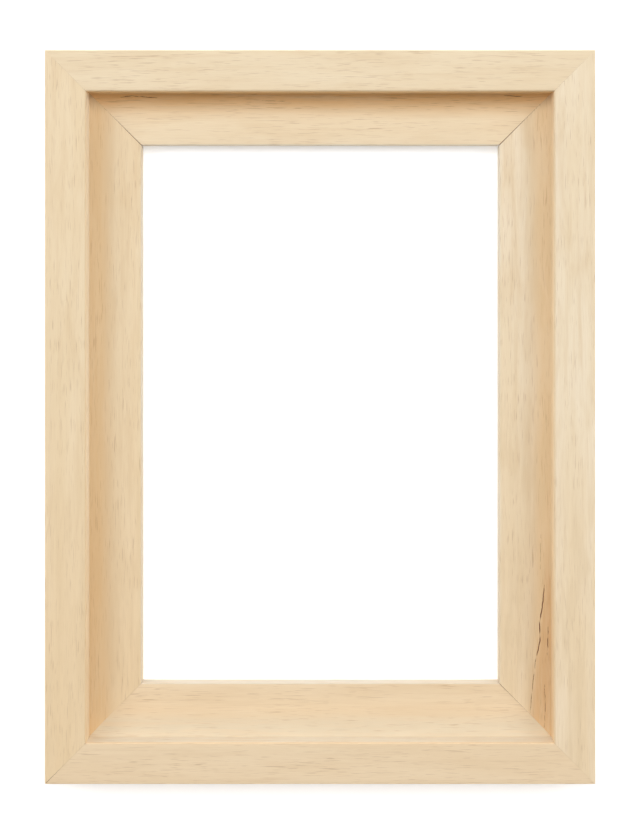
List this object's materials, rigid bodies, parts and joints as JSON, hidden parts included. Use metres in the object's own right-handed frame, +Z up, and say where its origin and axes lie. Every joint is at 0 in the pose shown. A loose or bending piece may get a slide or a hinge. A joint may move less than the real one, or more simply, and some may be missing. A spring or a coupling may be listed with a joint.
{
  "type": "screen printing frame",
  "caption": "Bare wooden printing frame, taller than wide, with a raised square rim, a shallow cove and a thin inner ledge round an open window.",
  "frame": {"origin": "on the surface that the frame lies on, under the middle of its window", "axes": "+Z up from the flat back to the raised rim; +Y along the long side, towards the back rail; +X towards the right rail"},
  "size_m": [0.3, 0.4, 0.025],
  "materials": {
    "back_rail_wood": "bare sanded pale hardwood",
    "front_rail_wood": "bare sanded pale hardwood",
    "left_rail_wood": "bare sanded pale hardwood",
    "right_rail_wood": "bare sanded pale hardwood",
    "mitre_glue": "dried wood glue",
    "nail_steel": "bright spring steel strip"
  },
  "bodies": {
    "root": {"back_rail": "back_rail_wood", "front_rail": "front_rail_wood", "left_rail": "left_rail_wood", "right_rail": "right_rail_wood", "glue_line_back_left": "mitre_glue", "glue_line_back_right": "mitre_glue", "glue_line_front_left": "mitre_glue", "glue_line_front_right": "mitre_glue", "rim_v_nail_back_left": "nail_steel", "rim_v_nail_back_right": "nail_steel", "rim_v_nail_front_left": "nail_steel", "rim_v_nail_front_right": "nail_steel", "ledge_v_nail_back_left": "nail_steel", "ledge_v_nail_back_right": "nail_steel", "ledge_v_nail_front_left": "nail_steel", "ledge_v_nail_front_right": "nail_steel"}
  },
  "joints": []
}
